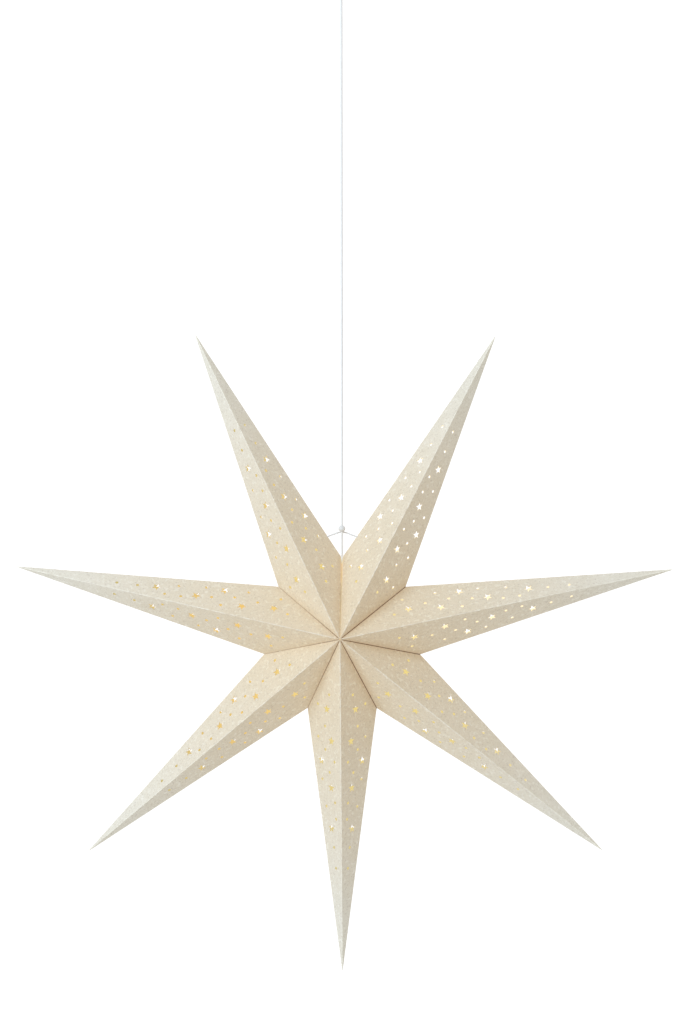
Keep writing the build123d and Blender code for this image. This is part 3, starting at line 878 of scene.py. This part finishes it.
# %% Bead
bore_play = 0.00025
bore = cord_radius + bore_play
radius, foot, top = extent("tie_bead")
bore_turn = degrees(acos(bore / radius))
bead_section = arc((0, (foot + top) / 2), radius, bore_turn, -bore_turn, count=24)
link_smooth("turned_bead", spun(bead_section), "ties", "bead", bead_white, "tie_bead")

# %% Canopy and bush
cup_wall, cup_round, floor_hole = 0.0016, 0.009, 0.0052
radius, canopy_floor, top = extent("canopy")
middle = (radius - cup_round, canopy_floor + cup_round)
cup_section = [(radius, top), *arc(middle, cup_round, 0, -90), (floor_hole, canopy_floor),
               (floor_hole, canopy_floor + cup_wall), *arc(middle, cup_round - cup_wall, -90, 0),
               (radius - cup_wall, top)]
link_smooth("turned_canopy", spun(cup_section), "ceiling", "canopy_white", canopy_white, "canopy")

flange, shank, sleeve_top = 0.002, 0.005, 0.0065
mouth, mouth_wall, bell = 0.00346, 0.0012, 0.006
radius, foot, top = extent("cord_bush")
flange_foot = canopy_floor - flange
bush_section = [(bore, top), (shank, top), (shank, canopy_floor), (radius, canopy_floor),
                (radius, flange_foot), (sleeve_top, flange_foot), (mouth + mouth_wall, foot), (mouth, foot),
                (bore, foot + bell)]
link_smooth("turned_bush", spun(bush_section), "ceiling", "canopy_white", canopy_white, "cord_bush")

# %% [markdown]
# The lamp holder's cap widens from its neck in an S. A cosine makes that curve: it leaves the neck and
# joins the wall without a corner. The body below it has a spigot inside the cap and a ledge for the
# contacts.

# %% Cap of the lamp holder
neck, neck_length, straight_rim, holder_wall = 0.0055, 0.004, 0.006, 0.0018
swell_steps = 12
radius, foot, top = extent("holder_cap")
cap_inner, neck_foot, shoulder = radius - holder_wall, top - neck_length, foot + straight_rim
swell = []
for step in range(swell_steps + 1):
    wider = (radius - neck) * (1 - cos(pi * step / swell_steps)) / 2
    swell.append((neck + wider, neck_foot + (shoulder - neck_foot) * step / swell_steps))
cap_section = [(bore, top), (neck, top), *swell, (radius, foot), (cap_inner, foot),
               (cap_inner, shoulder - holder_wall), (bore, neck_foot - holder_wall)]
cap_turned = spun(cap_section)
link_smooth("turned_holder_cap", cap_turned, "hanging_cord", "holder_white", holder_white, "holder_cap")

# %% Body of the lamp holder
spigot, spigot_play, ledge, ledge_height = 0.004, 0.0002, 0.0082, 0.013
radius, foot, top = extent("holder_body")
spigot_radius = cap_inner - spigot_play
spigot_inner, shelf = spigot_radius - holder_wall, foot + ledge_height
body_section = [(spigot_inner, top), (spigot_radius, top), (spigot_radius, top - spigot),
                (radius, top - spigot), (radius, foot), (ledge, foot), (ledge, shelf),
                (spigot_inner, shelf)]
body_turned = spun(body_section, body_ease)
link_smooth("turned_holder_body", body_turned, "hanging_cord", "holder_white", holder_white, "holder_body")

# %% Glass globe
glass_neck, glass_wall = 0.00625, 0.0008
radius, foot, top = extent("bulb_glass")
middle, inner_radius, inner_neck = (0, foot + radius), radius - glass_wall, glass_neck - glass_wall
outer_turn = degrees(acos(glass_neck / radius))
inner_turn = degrees(acos(inner_neck / inner_radius))
glass_section = [(glass_neck, top), *arc(middle, radius, outer_turn, -90, count=32),
                 *arc(middle, inner_radius, -90, inner_turn, count=32), (inner_neck, top)]
link_smooth("turned_glass", spun(glass_section), "bulb", "bulb_glass", bulb_glass, "bulb_glass")

# %% [markdown]
# The bulb's cap and the shell it screws into are thin sheet with a round rolled thread. A helix is a wave
# that rises by one pitch in one turn, so each point of a plain tube moves in or out by a cosine of its
# height and its angle.

# %% Helpers for rolled threads
thread_rise, thread_depth, thread_fade, sheet_wall = 0.00282, 0.00035, 0.0015, 0.0005


def wall(radius, start, end, count=48):
    """Points up or down a straight wall."""
    return [(radius, start + (end - start) * step / count) for step in range(count + 1)]


def rolled(bm, low, high, least_radius, lift):
    """Rolls a round thread into the wall of a tube between two heights."""
    for vertex in bm.verts:
        across = Vector((vertex.co.x, vertex.co.y, 0))
        if low < vertex.co.z < high and across.length > least_radius:
            fade = min(1, (high - vertex.co.z) / thread_fade, (vertex.co.z - low) / thread_fade)
            wave = cos(tau * vertex.co.z / thread_rise - atan2(across.y, across.x))
            vertex.co += across.normalized() * fade * thread_depth * (wave + lift) / 2
    return bm


# %% Cap of the bulb, and the shell
crown_round, crown = 0.0016, 0.0021
radius, foot, top = extent("bulb_cap")
inner, thread_top = radius - sheet_wall, top - crown_round
cap_tube = [*wall(radius, foot, thread_top), *arc((radius - crown_round, thread_top), crown_round, 0, 90),
            (0, top), (0, top - crown), (inner, top - crown), (inner, foot)]
cap_thread = rolled(spun(cap_tube, thread_ease), foot, thread_top, radius - sheet_wall / 2, lift=-1)
link_smooth("threaded_cap", cap_thread, "bulb", "nickel", nickel, "bulb_cap")

radius, foot, top = extent("screw_shell")
shell_tube = [*wall(radius, foot, top), *wall(radius - sheet_wall, top, foot)]
shell_thread = rolled(spun(shell_tube, thread_ease), foot, top, radius / 2, lift=0)
link_smooth("threaded_shell", shell_thread, "hanging_cord", "brass", brass, "screw_shell")

# %% [markdown]
# The other solids keep their shapes and only get a finish. The cords and the string get theirs here too.

# %% Dress the solids that stay as they are
dressed = {
    zinc: ("mounting_bracket", "canopy_screws", "terminal_screws", "clamp_screw"),
    block_plastic: ("terminal_block",),
    canopy_white: ("bush_nut",),
    ceramic: ("contact_insert",),
    brass: ("centre_contact", "contact_button"),
    insulator: ("cap_insulator",),
    bulb_glass: ("bulb_stem",),
    filament: ("filaments",),
}
for finish, nodes in dressed.items():
    for node in nodes:
        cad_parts[node].data.materials.clear()
        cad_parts[node].data.materials.append(finish)
for piece in (hanging_cord, fixed_end):
    piece.data.materials.append(cord_sheath)
for piece in (tie_string, string_knots):
    piece.data.materials.append(string_white)

# %% [markdown]
# ## Light and background
# The picture has a plain white ground and a broad, soft light from the left and a little above, so the
# panels that face left are cream and those that face right are tan. A white sky gives the even part of
# the light, and one large area lamp the direction. The sky looks brighter than it shines, which keeps the
# ground white. The light inside the star is the emission of its paper and its filaments, so no lamp is
# needed there.

# %% White sky
sky_light, sky_seen = 0.61, 1.15
white = (1.0, 1.0, 1.0)


def seen_rays(tree):
    """1 for rays that bring the picture, straight or by gloss or glass, and 0 for rays that bring light."""
    rays = put(tree, "ShaderNodeLightPath").outputs
    straight_or_gloss = counted(tree, "MAXIMUM", rays["Is Camera Ray"], rays["Is Glossy Ray"])
    return counted(tree, "MAXIMUM", straight_or_gloss, rays["Is Transmission Ray"])


world = bpy.data.worlds.new("studio")
scene.world = world
world.use_nodes = True
tree = world.node_tree
sky_strength = ranged(tree, seen_rays(tree), 0, 1, sky_light, sky_seen)
fill(tree, tree.nodes["Background"], {"Color": opaque(white), "Strength": sky_strength})
scene.view_settings.view_transform = "Standard"

# %% Key light
key_place, key_target = Vector((-1.75, -1.95, 0.25)), Vector((0, 0, star_z))
key_size, key_power, key_colour = 1.6, 40, (0.70, 0.855, 1.0)

key_data = bpy.data.lights.new("key", "AREA")
key_data.size = key_size
key_data.energy = key_power
key_data.color = key_colour
key = bpy.data.objects.new("key", key_data)
key.location = key_place
key.rotation_euler = (key_target - key_place).to_track_quat("-Z", "Y").to_euler()
scene.collection.objects.link(key)

# %% [markdown]
# The floor is far below the star and plain. Its edge would show against the sky, so it gets lighter
# outwards until the two look the same. From below it is clear, so that the star can be seen from there
# too.

# %% Floor
floor_z, floor_radius, floor_sides = -2.35, 3.0, 96
floor_pale, floor_lift = (0.9, 0.9, 0.9), (0.30, 0.60)
lift_start = 0.3 * floor_radius

floor_finish, tree, shader = new_material("floor_pale")
away = distance(tree, object_place(tree), (0, 0, floor_z))
lift = ranged(tree, away, lift_start, floor_radius, *floor_lift)
fill(tree, shader, {"Base Color": opaque(floor_pale), "Roughness": 0.9, "Emission Color": opaque(white),
                    "Emission Strength": times(tree, seen_rays(tree), lift)})
from_below = put(tree, "ShaderNodeNewGeometry").outputs["Backfacing"]
clear = put(tree, "ShaderNodeBsdfTransparent").outputs[0]
one_sided = put(tree, "ShaderNodeMixShader", {0: from_below, 1: shader.outputs[0], 2: clear}).outputs[0]
fill(tree, tree.nodes["Material Output"], {"Surface": one_sided})

disc = bmesh.new()
bmesh.ops.create_circle(disc, cap_ends=True, segments=floor_sides, radius=floor_radius,
                        matrix=Matrix.Translation((0, 0, floor_z)))
floor = bpy.data.objects.new("floor", mesh_of("floor", disc, floor_finish))
scene.collection.objects.link(floor)
